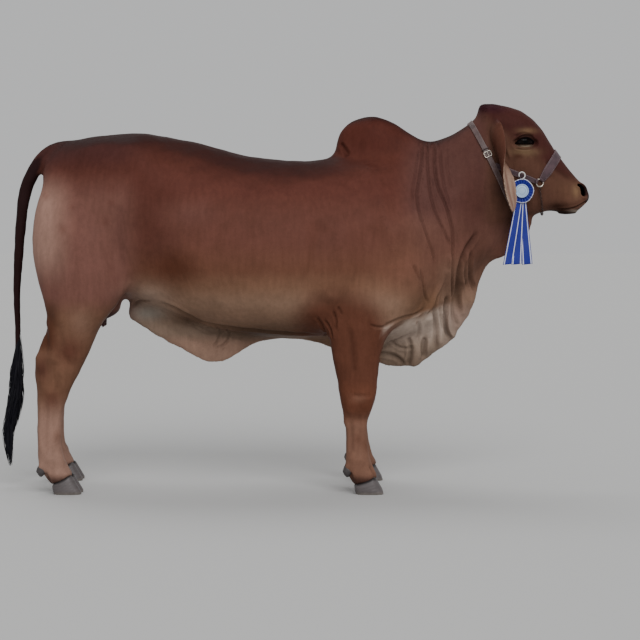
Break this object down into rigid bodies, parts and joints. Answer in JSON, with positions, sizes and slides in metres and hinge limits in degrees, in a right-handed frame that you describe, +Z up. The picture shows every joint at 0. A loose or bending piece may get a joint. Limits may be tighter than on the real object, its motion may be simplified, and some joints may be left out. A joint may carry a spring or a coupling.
{
  "type": "brahman cattle",
  "caption": "Life-size standing brahman cow with a hump, long hanging ears, pleated dewlap and black tail switch, wearing a leather show halter and a ribbon rosette.",
  "frame": {"origin": "on the floor under the middle of the object's bounding box", "axes": "+X towards the muzzle, +Y towards the animal's left side, +Z up"},
  "size_m": [2.3462, 0.7, 1.5291],
  "materials": {
    "coat": "short glossy red-brown hair",
    "thin_skin": "thin pale skin with sparse hair",
    "horn": "dull dark grey hoof horn",
    "eye": "wet and very dark",
    "switch": "long black hair",
    "strap": "worn brown-black strap leather",
    "steel": "plated steel, slightly dull",
    "ribbon": "satin, blue with white edges",
    "disc": "plain pale card"
  },
  "bodies": {
    "root": {"leg_fore_right_upper": "coat", "leg_fore_right_lower": "coat", "hoof_fore_right_outer": "horn", "dewclaw_fore_right_outer": "horn", "hoof_fore_right_inner": "horn", "dewclaw_fore_right_inner": "horn", "leg_hind_right_upper": "coat", "leg_hind_right_lower": "coat", "hoof_hind_right_outer": "horn", "dewclaw_hind_right_outer": "horn", "hoof_hind_right_inner": "horn", "dewclaw_hind_right_inner": "horn", "leg_fore_left_upper": "coat", "leg_fore_left_lower": "coat", "hoof_fore_left_outer": "horn", "dewclaw_fore_left_outer": "horn", "hoof_fore_left_inner": "horn", "dewclaw_fore_left_inner": "horn", "leg_hind_left_upper": "coat", "leg_hind_left_lower": "coat", "hoof_hind_left_outer": "horn", "dewclaw_hind_left_outer": "horn", "hoof_hind_left_inner": "horn", "dewclaw_hind_left_inner": "horn", "udder": "thin_skin", "head": "coat", "eye_right": "eye", "eye_left": "eye", "ear_right": "coat", "ear_left": "coat", "neck": "coat", "hump": "coat", "torso": "coat", "dewlap": "thin_skin", "navel_flap": "thin_skin", "tail": "coat", "tail_switch": "switch", "halter_noseband": "strap", "halter_crown": "strap", "halter_cheek_right": "strap", "halter_cheek_left": "strap", "halter_ring_right": "steel", "halter_ring_left": "steel", "halter_buckle": "steel", "halter_chin_chain": "steel", "rosette_hook": "steel", "rosette_disc": "disc", "rosette_ruffle": "ribbon", "rosette_ribbon_rear": "ribbon", "rosette_ribbon_middle": "ribbon", "rosette_ribbon_front": "ribbon"}
  },
  "joints": []
}
